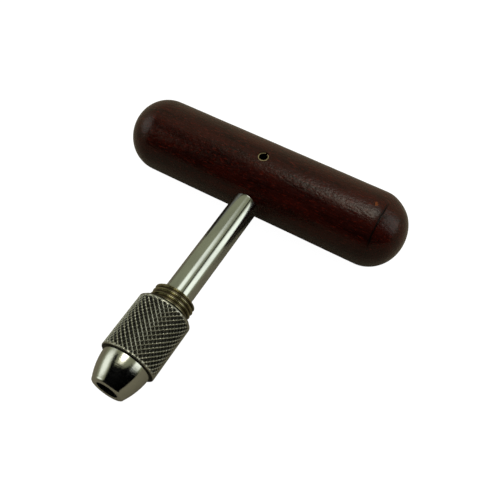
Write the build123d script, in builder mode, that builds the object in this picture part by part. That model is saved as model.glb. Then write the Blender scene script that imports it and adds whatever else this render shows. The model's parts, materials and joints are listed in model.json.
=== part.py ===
from build123d import *

import os
from math import radians, tan

# T-handle tap wrench: a turned hardwood cross handle, a steel shank held in it by a slotted
# cross pin, and a two-jaw chuck that closes when its knurled sleeve is screwed up the brass body.
#
# Frame, in millimetres: the origin is the centre of the chuck's mouth, +Y runs along the tool
# axis from the mouth to the handle, X runs along the handle, and +Z is up, along the cross pin.

# ---- driving dimensions ----------------------------------------------------------------------

FIT = 0.05                      # radial clearance of everything that turns or slides
PRESS_GAP = 0.02                # radial clearance of pieces that are pressed together

# Handle
handle_y = 75.0                 # the handle's axis, from the mouth
handle_radius = 10.9
handle_half_length = 43.8
dome_depth = 10.1               # length of the rounded stretch at each end
dome_fullness = 0.565           # a little fuller than an ellipse
socket_bottom_y = 80.5          # bottom of the blind hole that takes the shank

# Cross pin: a slotted spring pin, driven in a little off the handle's axis
pin_y = 74.3
pin_radius = 1.6
pin_bore_radius = 1.25
pin_half_length = 10.6
pin_slot_width = 0.6
pin_chamfer = 0.1
pin_slot_angle = 78             # direction of the slot, seen from above

# Shank
shank_radius = 4.0
shank_rear_y = 80.3
shank_front_y = 20.05
shank_chamfer = 0.5

# Chuck body: its thread is 12 mm by 1.25 mm, drawn here as a plain cylinder
body_radius = 5.9
body_rear_y = 29.6
body_front_y = 13.8
body_socket_bottom_y = 20.0
body_rear_chamfer = 0.35
body_front_chamfer = 0.6
jaw_slot_bottom_y = 18.0
jaw_slot_width = 6.4

# Knurled sleeve
sleeve_radius = 7.7
sleeve_rear_y = 24.95
sleeve_front_y = 8.15
sleeve_rear_chamfer = 0.75
sleeve_front_chamfer = 0.25

# Nose, which the sleeve turns on
nose_base_radius = 6.7
nose_waist = (6.12, 4.2)        # radius and distance from the mouth, half way along its side
nose_corner = (4.73, 0.55)
nose_corner_mid = (4.53, 0.16)
nose_face_radius = 4.2
mouth_radius = 3.0
mouth_length = 1.25
skirt_radius = 6.3
skirt_bore_radius = 5.3
skirt_rear_y = 10.4
cone_angle = 18                 # half angle of the cone that closes the jaws

# Retaining ring between the nose and the sleeve
ring_y = 9.2
ring_radius = 6.35
ring_wire_radius = 0.4
ring_gap = 2.0

# Jaws
close_travel = 3.2              # travel of the nose from this pose to closed jaws
jaw_tip_y = 3.5
jaw_radius = 3.69
jaw_width = jaw_slot_width - 2 * FIT
jaw_gap_closed = 0.1            # half the gap between the jaws' faces when they are closed
groove_half_width = 1.45        # the jaws' right-angled grooves, at the face

# Jaw springs
spring_x = 2.3
spring_y = 15.5
spring_radius = 0.6             # of the coil's centre line
spring_wire_radius = 0.13
spring_turns = 6
pocket_radius = 0.8
pocket_depth = 1.6

# ---- worked out from them --------------------------------------------------------------------

cone_slope = tan(radians(cone_angle))
cone_rear_y = mouth_length + (skirt_bore_radius - mouth_radius) / cone_slope
jaw_lift = close_travel * cone_slope
jaw_face_z = jaw_lift + jaw_gap_closed
closed_cone_y = mouth_length + close_travel
jaw_tip_radius = mouth_radius - FIT + (jaw_tip_y - closed_cone_y) * cone_slope
jaw_shoulder_y = closed_cone_y + (jaw_radius + FIT - mouth_radius) / cone_slope
jaw_rear_y = jaw_slot_bottom_y - FIT
counterbore_y = skirt_rear_y + FIT
ring_groove_half_width = ring_wire_radius + FIT
spring_half_length = jaw_face_z + pocket_depth - spring_wire_radius - FIT
handle_axis = Axis((0, handle_y, 0), (1, 0, 0))

os.makedirs("parts", exist_ok=True)


def across(y):
    """The plane square to the tool axis at y, facing the handle."""
    return Plane(origin=(0, y, 0), x_dir=(1, 0, 0), z_dir=(0, 1, 0))


def save(builder, label):
    """Label a finished piece and write it to its own file."""
    builder.part.label = label
    export_step(builder.part, f"parts/{label}.step")
    print(f"{label}: volume {builder.part.volume:.2f} mm3")


# ---- handle ----------------------------------------------------------------------------------

with BuildPart() as handle:
    with BuildSketch(Plane(origin=(0, handle_y, 0))):
        straight = handle_half_length - dome_depth
        with BuildLine():
            side = Line((0, handle_radius), (straight, handle_radius))
            dome = Bezier(
                side @ 1,
                (straight + dome_fullness * dome_depth, handle_radius),
                (handle_half_length, dome_fullness * handle_radius),
                (handle_half_length, 0),
            )
            Polyline(dome @ 1, (0, 0), side @ 0)
        make_face()
        mirror(about=Plane.YZ)
    revolve(axis=handle_axis)
    with BuildSketch(across(socket_bottom_y)):
        Circle(shank_radius + PRESS_GAP)
    extrude(amount=-(socket_bottom_y - handle_y + handle_radius), mode=Mode.SUBTRACT)
    with Locations((0, pin_y, 0)):
        Cylinder(pin_radius + PRESS_GAP, 2 * handle_radius + 1, mode=Mode.SUBTRACT)
save(handle, "handle")

# ---- cross pin -------------------------------------------------------------------------------

with BuildPart() as cross_pin:
    with Locations((0, pin_y, 0)):
        Cylinder(pin_radius, 2 * pin_half_length)
        Cylinder(pin_bore_radius, 2 * pin_half_length, mode=Mode.SUBTRACT)
        with Locations(Rotation(0, 0, pin_slot_angle)):
            Box(
                2 * pin_radius,
                pin_slot_width,
                2 * pin_half_length,
                align=(Align.MIN, Align.CENTER, Align.CENTER),
                mode=Mode.SUBTRACT,
            )
    end_edges = edges().filter_by(GeomType.CIRCLE).filter_by(lambda edge: edge.radius > 1.4)
    chamfer(end_edges, length=pin_chamfer)
save(cross_pin, "cross_pin")

# ---- shank -----------------------------------------------------------------------------------

with BuildPart() as shank:
    with BuildSketch(across(shank_front_y)):
        Circle(shank_radius)
    extrude(amount=shank_rear_y - shank_front_y)
    chamfer(faces().sort_by(Axis.Y)[-1].edges(), length=shank_chamfer)
    with Locations((0, pin_y, 0)):
        Cylinder(pin_radius + PRESS_GAP, 3 * shank_radius, mode=Mode.SUBTRACT)
save(shank, "shank")

# ---- chuck body ------------------------------------------------------------------------------

with BuildPart() as chuck_body:
    with BuildSketch(across(body_front_y)):
        Circle(body_radius)
    extrude(amount=body_rear_y - body_front_y)
    chamfer(faces().sort_by(Axis.Y)[-1].edges(), length=body_rear_chamfer)
    chamfer(faces().sort_by(Axis.Y)[0].edges(), length=body_front_chamfer)
    with BuildSketch(across(body_socket_bottom_y)):
        Circle(shank_radius + PRESS_GAP)
    extrude(amount=body_rear_y - body_socket_bottom_y, mode=Mode.SUBTRACT)
    with BuildSketch(across(body_front_y)):
        Rectangle(jaw_slot_width, 3 * body_radius)
    extrude(amount=jaw_slot_bottom_y - body_front_y, mode=Mode.SUBTRACT)
save(chuck_body, "chuck_body")

# ---- knurled sleeve --------------------------------------------------------------------------

with BuildPart() as knurled_sleeve:
    with BuildSketch(across(sleeve_front_y)):
        Circle(sleeve_radius)
    extrude(amount=sleeve_rear_y - sleeve_front_y)
    chamfer(faces().sort_by(Axis.Y)[-1].edges(), length=sleeve_rear_chamfer)
    chamfer(faces().sort_by(Axis.Y)[0].edges(), length=sleeve_front_chamfer)
    with BuildSketch(across(sleeve_front_y)):
        Circle(body_radius + FIT)
    extrude(amount=sleeve_rear_y - sleeve_front_y, mode=Mode.SUBTRACT)
    with BuildSketch(across(sleeve_front_y)):
        Circle(skirt_radius + FIT)
    extrude(amount=counterbore_y - sleeve_front_y, mode=Mode.SUBTRACT)
    with BuildSketch(across(ring_y)):
        Circle(ring_radius + ring_wire_radius + FIT)
    extrude(amount=ring_groove_half_width, both=True, mode=Mode.SUBTRACT)
save(knurled_sleeve, "knurled_sleeve")

# ---- nose ------------------------------------------------------------------------------------

with BuildPart() as nose_cone:
    with BuildSketch():
        with BuildLine():
            side = ThreePointArc((nose_base_radius, sleeve_front_y - FIT), nose_waist, nose_corner)
            corner = ThreePointArc(side @ 1, nose_corner_mid, (nose_face_radius, 0))
            Polyline(
                corner @ 1,
                (mouth_radius, 0),
                (mouth_radius, mouth_length),
                (skirt_bore_radius, cone_rear_y),
                (skirt_bore_radius, skirt_rear_y),
                (skirt_radius, skirt_rear_y),
                (skirt_radius, sleeve_front_y - FIT),
                side @ 0,
            )
        make_face()
    revolve(axis=Axis.Y)
    with BuildSketch():
        with Locations((ring_radius, ring_y)):
            Rectangle(2 * (ring_wire_radius + FIT), 2 * ring_groove_half_width)
    revolve(axis=Axis.Y, mode=Mode.SUBTRACT)
save(nose_cone, "nose_cone")

# ---- retaining ring --------------------------------------------------------------------------

with BuildPart() as retaining_ring:
    with BuildSketch():
        with Locations((ring_radius, ring_y)):
            Circle(ring_wire_radius)
    revolve(axis=Axis.Y)
    with Locations((0, ring_y, ring_radius)):
        Box(ring_gap, 4 * ring_wire_radius, 4 * ring_wire_radius, mode=Mode.SUBTRACT)
save(retaining_ring, "retaining_ring")

# ---- jaws, in the pose with the sleeve part open -----------------------------------------------

for label, side in (("jaw_upper", 1), ("jaw_lower", -1)):
    jaw_axis = Axis((0, 0, side * jaw_lift), (0, 1, 0))
    with BuildPart() as jaw:
        with BuildSketch(Plane(origin=(0, 0, side * jaw_lift))):
            with BuildLine():
                Polyline(
                    (0, jaw_tip_y),
                    (jaw_tip_radius, jaw_tip_y),
                    (jaw_radius, jaw_shoulder_y),
                    (jaw_radius, jaw_rear_y),
                    (0, jaw_rear_y),
                    close=True,
                )
            make_face()
        revolve(axis=jaw_axis)
        with BuildSketch(across(jaw_tip_y)):
            with Locations((0, -side * jaw_face_z)):
                Rectangle(
                    jaw_width,
                    2 * jaw_radius,
                    align=(Align.CENTER, Align.MAX if side > 0 else Align.MIN),
                )
        extrude(amount=jaw_rear_y - jaw_tip_y, mode=Mode.INTERSECT)
        with BuildSketch(across(jaw_tip_y)):
            with BuildLine():
                Polyline(
                    (-groove_half_width, -side * jaw_face_z),
                    (groove_half_width, -side * jaw_face_z),
                    (0, -side * (jaw_face_z + groove_half_width)),
                    close=True,
                )
            make_face()
        extrude(amount=jaw_rear_y - jaw_tip_y, mode=Mode.SUBTRACT)
        with Locations(
            (-spring_x, spring_y, side * jaw_face_z), (spring_x, spring_y, side * jaw_face_z)
        ):
            Cylinder(
                pocket_radius,
                pocket_depth,
                align=(Align.CENTER, Align.CENTER, Align.MIN if side > 0 else Align.MAX),
                mode=Mode.SUBTRACT,
            )
    save(jaw, label)

# ---- jaw springs -----------------------------------------------------------------------------

for label, x in (("jaw_spring_left", -spring_x), ("jaw_spring_right", spring_x)):
    with BuildPart() as spring:
        with BuildLine() as coil:
            Helix(
                pitch=2 * spring_half_length / spring_turns,
                height=2 * spring_half_length,
                radius=spring_radius,
                center=(x, spring_y, -spring_half_length),
            )
        with BuildSketch(Plane(origin=coil.line @ 0, z_dir=coil.line % 0)):
            Circle(spring_wire_radius)
        sweep(path=coil.line, is_frenet=True)
    save(spring, label)
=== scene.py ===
import json
import logging
import math
from collections.abc import Callable, Mapping, Sequence
from dataclasses import dataclass
from enum import Enum

import bmesh
import bpy
import numpy as np
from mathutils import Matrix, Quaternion, Vector, noise


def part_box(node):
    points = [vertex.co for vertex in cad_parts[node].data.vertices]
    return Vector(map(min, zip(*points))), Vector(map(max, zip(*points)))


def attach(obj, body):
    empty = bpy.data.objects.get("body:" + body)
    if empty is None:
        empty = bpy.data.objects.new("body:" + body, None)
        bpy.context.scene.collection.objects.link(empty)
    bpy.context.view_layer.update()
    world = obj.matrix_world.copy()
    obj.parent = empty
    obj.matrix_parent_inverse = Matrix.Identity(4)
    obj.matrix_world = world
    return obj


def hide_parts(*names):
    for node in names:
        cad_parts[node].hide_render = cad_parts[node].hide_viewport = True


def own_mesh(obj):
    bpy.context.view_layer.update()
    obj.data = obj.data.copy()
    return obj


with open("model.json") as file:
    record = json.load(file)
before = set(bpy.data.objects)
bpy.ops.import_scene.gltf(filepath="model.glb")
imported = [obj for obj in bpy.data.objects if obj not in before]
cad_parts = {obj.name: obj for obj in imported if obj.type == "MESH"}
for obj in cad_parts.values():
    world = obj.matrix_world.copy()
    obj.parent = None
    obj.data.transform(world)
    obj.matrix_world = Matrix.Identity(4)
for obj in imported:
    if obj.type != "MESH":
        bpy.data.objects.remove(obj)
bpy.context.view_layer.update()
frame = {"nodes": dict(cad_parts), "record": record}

LOG = logging.getLogger("tap_wrench")

MM = 0.001
JOINT_LINE_MM = 0.05
PIN_CLEARANCE_MM = 0.02
TOOL_MIDDLE_MM = 40.0
FULL_TURN = 2 * math.pi
MERGE_DISTANCE = 1e-7

Triple = tuple[float, float, float]
Colour = tuple[float, float, float]
Relief = Callable[[np.ndarray, np.ndarray], np.ndarray]


class Body(str, Enum):
    """The moving groups of the tool, by their names in the frame."""

    WRENCH = "wrench"
    NOSE = "nose"
    SLEEVE = "sleeve"


class TurningAxis(Enum):
    """The line that a turned piece is made about."""

    TOOL = "tool"
    HANDLE = "handle"


# ---- node trees ------------------------------------------------------------------------------


class NodeSheet:
    """Writes one node tree, a call for each node."""

    def __init__(self, tree: bpy.types.NodeTree) -> None:
        """Start an empty sheet on a tree.

        Args:
            tree: The material's or world's node tree. Its old nodes are removed.
        """
        self.tree = tree
        tree.nodes.clear()

    def node(
        self, kind: str, inputs: Mapping[str | int, object] | None = None, **settings: object
    ) -> bpy.types.Node:
        """Add a node.

        Args:
            kind: Blender's name of the node type.
            inputs: A value or another node's output for each named or numbered input.
            **settings: Properties of the node itself.

        Returns:
            The new node.
        """
        made = self.tree.nodes.new(kind)
        for name, value in settings.items():
            setattr(made, name, value)
        for key, value in (inputs or {}).items():
            if isinstance(value, bpy.types.NodeSocket):
                self.tree.links.new(value, made.inputs[key])
            else:
                made.inputs[key].default_value = value
        return made

    def place(self) -> bpy.types.NodeSocket:
        """The shaded point in the piece's own space, in metres."""
        return self.node("ShaderNodeTexCoord").outputs["Object"]

    def stretched(self, scale: Triple = (1.0, 1.0, 1.0)) -> bpy.types.NodeSocket:
        """The shaded point in millimetres, each axis multiplied by its own factor.

        Args:
            scale: One factor for each axis; a small factor draws a pattern out along that axis.

        Returns:
            The scaled point.
        """
        per_metre = tuple(factor / MM for factor in scale)
        return self.node(
            "ShaderNodeMapping", {"Vector": self.place(), "Scale": per_metre}
        ).outputs[0]

    def noise(
        self,
        per_mm: Triple,
        detail: float,
        roughness: float,
        distortion: float = 0.0,
    ) -> bpy.types.NodeSocket:
        """Add a noise texture over the piece.

        Args:
            per_mm: Features for each millimetre along each axis.
            detail: Number of finer layers.
            roughness: Strength of each finer layer beside the one before.
            distortion: How far the pattern is pushed about.

        Returns:
            The noise value, about 0 to 1.
        """
        inputs = {
            "Vector": self.stretched(per_mm),
            "Scale": 1.0,
            "Detail": detail,
            "Roughness": roughness,
            "Distortion": distortion,
        }
        return self.node("ShaderNodeTexNoise", inputs).outputs[0]

    def steps(
        self,
        value: bpy.types.NodeSocket,
        low: float,
        high: float,
        at_low: float = 0.0,
        at_high: float = 1.0,
    ) -> bpy.types.NodeSocket:
        """Map a value smoothly from one range onto another.

        Args:
            value: What is mapped.
            low: The value that gives at_low.
            high: The value that gives at_high.
            at_low: Result at and below low.
            at_high: Result at and above high.

        Returns:
            The mapped value.
        """
        inputs = {
            "Value": value,
            "From Min": low,
            "From Max": high,
            "To Min": at_low,
            "To Max": at_high,
        }
        return self.node(
            "ShaderNodeMapRange", inputs, interpolation_type="SMOOTHSTEP"
        ).outputs[0]

    def maths(
        self,
        operation: str,
        first: bpy.types.NodeSocket | float,
        second: bpy.types.NodeSocket | float = 0.0,
    ) -> bpy.types.NodeSocket:
        """Combine two values.

        Args:
            operation: Blender's name of the operation.
            first: The first value.
            second: The second value, where the operation has one.

        Returns:
            The result.
        """
        return self.node(
            "ShaderNodeMath", {0: first, 1: second}, operation=operation
        ).outputs[0]

    def blend(
        self,
        factor: bpy.types.NodeSocket | float,
        first: bpy.types.NodeSocket | Colour,
        second: bpy.types.NodeSocket | Colour,
    ) -> bpy.types.NodeSocket:
        """Mix two colours.

        Args:
            factor: 0 gives the first colour, 1 the second.
            first: The first colour.
            second: The second colour.

        Returns:
            The mixed colour.
        """
        mix = self.node("ShaderNodeMix", data_type="RGBA")
        for index, value in ((0, factor), (6, first), (7, second)):
            if isinstance(value, bpy.types.NodeSocket):
                self.tree.links.new(value, mix.inputs[index])
            elif isinstance(value, tuple):
                mix.inputs[index].default_value = (*value, 1.0)
            else:
                mix.inputs[index].default_value = value
        return mix.outputs[2]

    def bump(
        self,
        height: bpy.types.NodeSocket,
        depth_mm: float,
        under: bpy.types.NodeSocket | None = None,
    ) -> bpy.types.NodeSocket:
        """Tilt the surface as if it had a fine relief.

        Args:
            height: The relief, 0 to 1.
            depth_mm: The height of 1, in millimetres.
            under: The normal of a coarser relief below this one.

        Returns:
            The tilted normal.
        """
        inputs: dict[str | int, object] = {
            "Height": height,
            "Distance": depth_mm * MM,
            "Strength": 1.0,
        }
        if under is not None:
            inputs["Normal"] = under
        return self.node("ShaderNodeBump", inputs).outputs[0]

    def distance_from_tool_axis(self) -> bpy.types.NodeSocket:
        """The shaded point's distance from the tool's axis, in millimetres."""
        flat = self.stretched((1.0, 0.0, 1.0))
        return self.node(
            "ShaderNodeVectorMath", {0: flat}, operation="LENGTH"
        ).outputs["Value"]

    def surface(self, inputs: Mapping[str | int, object]) -> None:
        """End the sheet with the shader.

        Args:
            inputs: The principled shader's values and links, by socket name.
        """
        shader = self.node("ShaderNodeBsdfPrincipled", inputs)
        self.node("ShaderNodeOutputMaterial", {"Surface": shader.outputs[0]})


def new_material(name: str) -> tuple[bpy.types.Material, NodeSheet]:
    """Make a material with an empty node sheet.

    Args:
        name: The material's name.

    Returns:
        The material and the sheet on its node tree.
    """
    material = bpy.data.materials.new(name)
    material.use_nodes = True
    return material, NodeSheet(material.node_tree)


# ---- finishes --------------------------------------------------------------------------------


@dataclass(frozen=True)
class LacqueredWood:
    """Dark red-brown hardwood, its flecks and pores running along X, under semi-gloss lacquer.

    Attributes:
        crease_x: Place of the crease along the handle, in millimetres.
        crease_line: Direction that the creased side faces, across the handle and up.
        axis_y: Place of the handle's axis, in millimetres.
        chip_place: Middle of the chip, in millimetres.
        crease_shade_edges: Half widths at which the painted shade in the crease starts to thin out
            and ends, in millimetres.
        crease_shade_heights: Heights along crease_line where the painted shade starts and is full.
        crease_shade_wander: How far the line of painted shade strays, in millimetres.
        chip_size: Radius of the chip, in millimetres.
        chip_core: Share of that radius which is bare all over.
        chip_raggedness: How far its edge is eaten back, in millimetres.
        deep: Colour of the darkest wood.
        warm: Colour of the lighter wood and its streaks.
        fleck: Colour of the short red dashes.
        pore_and_crease_shade: Colour of the pores and of the painted shade in the crease.
        bare: Colour of the wood in the chip.
        lacquer_roughness: Roughness of the lacquer, from which the wood's own is worked out.
        peel_depth_mm: Height of the lacquer's slow waves.
        pore_depth_mm: Depth of the pores that show through it.
    """

    crease_x: float
    crease_line: tuple[float, float]
    axis_y: float
    chip_place: Triple
    # Place, width and spread of the painted shade in the crease.
    crease_shade_edges: tuple[float, float] = (0.06, 0.42)
    crease_shade_heights: tuple[float, float] = (7.4, 9.6)
    crease_shade_wander: float = 0.5
    chip_size: float = 1.0
    chip_core: float = 0.6
    chip_raggedness: float = 0.95
    deep: Colour = (0.0080, 0.0010, 0.0005)
    warm: Colour = (0.0270, 0.0031, 0.0014)
    fleck: Colour = (0.0900, 0.0080, 0.0026)
    # Pore colour, also used as the painted shade in the crease.
    pore_and_crease_shade: Colour = (0.0030, 0.0012, 0.0008)
    bare: Colour = (0.1400, 0.0400, 0.0110)
    lacquer_roughness: float = 0.12
    peel_depth_mm: float = 0.11
    pore_depth_mm: float = 0.012

    def crease(self, sheet: NodeSheet) -> bpy.types.NodeSocket:
        """Where shade is painted in the crease across the right end, on the side that crease_line
        faces.

        Args:
            sheet: The material's node sheet.

        Returns:
            1 in the painted shade and 0 elsewhere.
        """
        axes = sheet.node("ShaderNodeSeparateXYZ", {"Vector": sheet.stretched()})
        wander = sheet.noise((0.1, 0.45, 0.45), 3.0, 0.6)
        bent = sheet.maths("MULTIPLY", sheet.maths("SUBTRACT", wander, 0.5), self.crease_shade_wander)
        reach = sheet.maths("SUBTRACT", axes.outputs["X"], self.crease_x)
        away = sheet.maths("ABSOLUTE", sheet.maths("ADD", reach, bent))
        across, up = self.crease_line
        from_axis = sheet.maths("SUBTRACT", axes.outputs["Y"], self.axis_y)
        facing = sheet.maths(
            "ADD",
            sheet.maths("MULTIPLY", from_axis, across),
            sheet.maths("MULTIPLY", axes.outputs["Z"], up),
        )
        # The line of painted shade, kept to the side that crease_line faces.
        line = sheet.steps(away, *self.crease_shade_edges, 1.0, 0.0)
        return sheet.maths("MULTIPLY", line, sheet.steps(facing, *self.crease_shade_heights))

    def chip(self, sheet: NodeSheet) -> bpy.types.NodeSocket:
        """Where a small chip has left the wood bare.

        Args:
            sheet: The material's node sheet.

        Returns:
            1 in the chip and 0 elsewhere.
        """
        distance = sheet.node(
            "ShaderNodeVectorMath",
            {0: sheet.stretched(), 1: self.chip_place},
            operation="DISTANCE",
        ).outputs["Value"]
        ragged = sheet.noise((1.6, 1.6, 1.6), 3.0, 0.7)
        eaten = sheet.steps(ragged, 0.38, 0.62, 0.0, self.chip_raggedness)
        edge = sheet.maths("ADD", distance, eaten)
        return sheet.steps(edge, self.chip_size * self.chip_core, self.chip_size, 1.0, 0.0)

    def material(self) -> bpy.types.Material:
        """Build the wood: tone, streaks, flecks, pores, small damage, painted shade in the crease
        and the lacquer over it.
        """
        material, sheet = new_material("lacquered_hardwood")
        tone = sheet.noise((0.05, 0.28, 0.28), 4.0, 0.6, 0.4)
        streaks = sheet.noise((0.22, 1.9, 1.9), 3.0, 0.6)
        dashes = sheet.noise((0.7, 2.8, 2.8), 2.5, 0.55, 0.3)
        pores = sheet.noise((0.7, 6.0, 6.0), 2.0, 0.5)
        peel = sheet.noise((0.8, 1.4, 1.4), 3.0, 0.6)

        ground = sheet.blend(sheet.steps(tone, 0.32, 0.68), self.deep, self.warm)
        ground = sheet.blend(sheet.steps(streaks, 0.40, 0.66, 0.0, 0.55), ground, self.warm)
        lit = sheet.maths("MULTIPLY", sheet.steps(dashes, 0.54, 0.72), 0.6)
        ground = sheet.blend(lit, ground, self.fleck)
        closed = sheet.steps(pores, 0.62, 0.74)
        # crease is painted shade: near black and without lacquer, so it shows no highlight.
        crease, chip = self.crease(sheet), self.chip(sheet)
        colour = sheet.blend(sheet.maths("MULTIPLY", closed, 0.7), ground, self.pore_and_crease_shade)
        colour = sheet.blend(chip, sheet.blend(crease, colour, self.pore_and_crease_shade), self.bare)

        peeled = sheet.bump(peel, self.peel_depth_mm)
        pitted = sheet.bump(sheet.maths("SUBTRACT", 1.0, closed), self.pore_depth_mm, peeled)
        gloss = self.lacquer_roughness
        sheet.surface(
            {
                "Base Color": colour,
                "Roughness": sheet.steps(peel, 0.3, 0.7, gloss + 0.1, gloss + 0.3),
                "Specular IOR Level": 0.05,
                # No lacquer in the painted crease shade, nor in the bare chip.
                "Coat Weight": sheet.maths("SUBTRACT", 1.0, sheet.maths("MAXIMUM", crease, chip)),
                "Coat Roughness": sheet.steps(peel, 0.3, 0.7, gloss - 0.04, gloss + 0.06),
                "Coat IOR": 1.31,
                "Normal": pitted,
                "Coat Normal": peeled,
            }
        )
        return material


@dataclass(frozen=True)
class PolishedBar:
    """Bright round bar, polished in the lathe: fine rings round the tool's axis.

    Attributes:
        name: The material's name.
        bright: Colour of the clean metal.
        dull: Colour of its clouded patches.
        roughness: Mean roughness.
        ring_depth_mm: Height of the polishing rings.
        fine_share: Height of the finer rings, as a share of that.
    """

    name: str
    bright: Colour
    dull: Colour
    roughness: float
    ring_depth_mm: float = 0.0022
    fine_share: float = 0.35

    def material(self) -> bpy.types.Material:
        """Build the bar: faint clouding, polishing rings and a few rubbed patches."""
        material, sheet = new_material(self.name)
        cloud = sheet.noise((0.25, 0.12, 0.25), 4.0, 0.6)
        rings = sheet.noise((0.12, 4.5, 0.12), 4.0, 0.7)
        fine = sheet.noise((0.9, 34.0, 0.9), 2.0, 0.5)
        colour = sheet.blend(sheet.steps(cloud, 0.35, 0.7), self.bright, self.dull)
        worn = sheet.steps(cloud, 0.3, 0.75, self.roughness * 0.8, self.roughness * 1.35)
        rough = sheet.maths("ADD", worn, sheet.steps(rings, 0.4, 0.7, 0.0, 0.05))
        normal = sheet.bump(rings, self.ring_depth_mm)
        normal = sheet.bump(fine, self.ring_depth_mm * self.fine_share, normal)
        sheet.surface(
            {"Base Color": colour, "Metallic": 1.0, "Roughness": rough, "Normal": normal}
        )
        return material


@dataclass(frozen=True)
class GrooveShaded:
    """A worked metal surface that is bright on its high parts, with painted shade in its low ones.

    Attributes:
        name: The material's name.
        high: Colour of the high parts.
        low: Colour of the painted shade in the low parts.
        high_radius_mm: Distance from the tool's axis at which the painted shade ends.
        low_radius_mm: Distance at which it is full.
        high_roughness: Roughness of the high parts.
        low_roughness: Roughness of the low parts.
        grain: Scratches for each millimetre along each axis.
        grain_depth_mm: Height of the scratches.
        shade_wander_mm: How far the painted shade's height strays.
        mottle_shade: Brightness of the darker patches beside the high colour.
    """

    name: str
    high: Colour
    low: Colour
    high_radius_mm: float
    low_radius_mm: float
    high_roughness: float
    low_roughness: float
    grain: Triple
    grain_depth_mm: float = 0.006
    shade_wander_mm: float = 0.25
    mottle_shade: float = 0.72

    def material(self) -> bpy.types.Material:
        """Build the metal, its painted shade following the distance from the tool's axis."""
        material, sheet = new_material(self.name)
        radius = sheet.distance_from_tool_axis()
        mottle = sheet.noise((0.8, 0.8, 0.8), 4.0, 0.65)
        scratches = sheet.noise(self.grain, 3.0, 0.6)
        wander = sheet.maths("MULTIPLY", sheet.maths("SUBTRACT", mottle, 0.5), self.shade_wander_mm)
        height = sheet.maths("ADD", radius, wander)
        # worn is 0 where the low parts get the painted shade and 1 on the high parts.
        worn = sheet.steps(height, self.low_radius_mm, self.high_radius_mm)
        darker = tuple(channel * self.mottle_shade for channel in self.high)
        tint = sheet.blend(sheet.steps(mottle, 0.35, 0.7), self.high, darker)
        colour = sheet.blend(worn, self.low, tint)
        rough = sheet.maths(
            "ADD",
            sheet.steps(
                height,
                self.low_radius_mm,
                self.high_radius_mm,
                self.low_roughness,
                self.high_roughness,
            ),
            sheet.steps(scratches, 0.35, 0.7, -0.04, 0.08),
        )
        sheet.surface(
            {
                "Base Color": colour,
                "Metallic": 1.0,
                "Roughness": rough,
                "Normal": sheet.bump(scratches, self.grain_depth_mm),
            }
        )
        return material


@dataclass(frozen=True)
class PlainSteel:
    """Small steel pieces with a dull, slightly mottled surface.

    Attributes:
        name: The material's name.
        light: Colour of the lighter patches.
        dark: Colour of the darker patches.
        roughness: Mean roughness.
        shadow: Painted shade below the rubbed ends, or None for a piece without them.
        rubbed_from_mm: Height above and below the tool's axis at which the rubbed ends start.
        grain_depth_mm: Height of the grain.
    """

    name: str
    light: Colour
    dark: Colour
    roughness: float
    shadow: Colour | None = None
    rubbed_from_mm: float = 0.0
    grain_depth_mm: float = 0.004

    def material(self) -> bpy.types.Material:
        """Build the steel: mottled tone and fine grain, with painted shade below its rubbed ends if
        asked.
        """
        material, sheet = new_material(self.name)
        mottle = sheet.noise((1.4, 1.4, 1.4), 4.0, 0.65)
        grain = sheet.noise((9.0, 9.0, 9.0), 2.0, 0.5)
        colour = sheet.blend(sheet.steps(mottle, 0.35, 0.68), self.light, self.dark)
        if self.shadow is not None:
            point = sheet.stretched()
            height = sheet.node("ShaderNodeSeparateXYZ", {"Vector": point}).outputs["Z"]
            above = sheet.maths("SUBTRACT", sheet.maths("ABSOLUTE", height), self.rubbed_from_mm)
            # Painted shade below the rubbed ends, where the piece sits down in its hole.
            colour = sheet.blend(sheet.steps(above, 0.0, 0.2), self.shadow, colour)
        rough = sheet.steps(mottle, 0.3, 0.7, self.roughness - 0.08, self.roughness + 0.12)
        sheet.surface(
            {
                "Base Color": colour,
                "Metallic": 1.0,
                "Roughness": rough,
                "Normal": sheet.bump(grain, self.grain_depth_mm),
            }
        )
        return material


# ---- mesh work -------------------------------------------------------------------------------


@dataclass
class Band:
    """A run of rings on a turned piece, all in millimetres.

    Attributes:
        along: Each ring's place along the axis.
        radius: Each ring's radius.
        relief: Height to add to the radius at a place and an angle, or None for plain rings.
        crossed: True to split each face by both diagonals, for a pattern that runs along them.
    """

    along: np.ndarray
    radius: np.ndarray
    relief: Relief | None = None
    crossed: bool = False


def ring_points(
    axis: TurningAxis, offset: float, along: np.ndarray, radius: np.ndarray, angle: np.ndarray
) -> np.ndarray:
    """Put rings of points round an axis.

    Args:
        axis: The axis that the rings are square to.
        offset: For the handle's axis, its distance from the mouth in millimetres.
        along: Place along the axis.
        radius: Distance from the axis.
        angle: Angle about it.

    Returns:
        The points in metres, one row each.
    """
    across, up = radius * np.cos(angle), radius * np.sin(angle)
    if axis is TurningAxis.TOOL:
        points = (across, along, up)
    else:
        points = (along, offset + across, up)
    return np.stack([np.ravel(part) for part in points], axis=1) * MM


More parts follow.
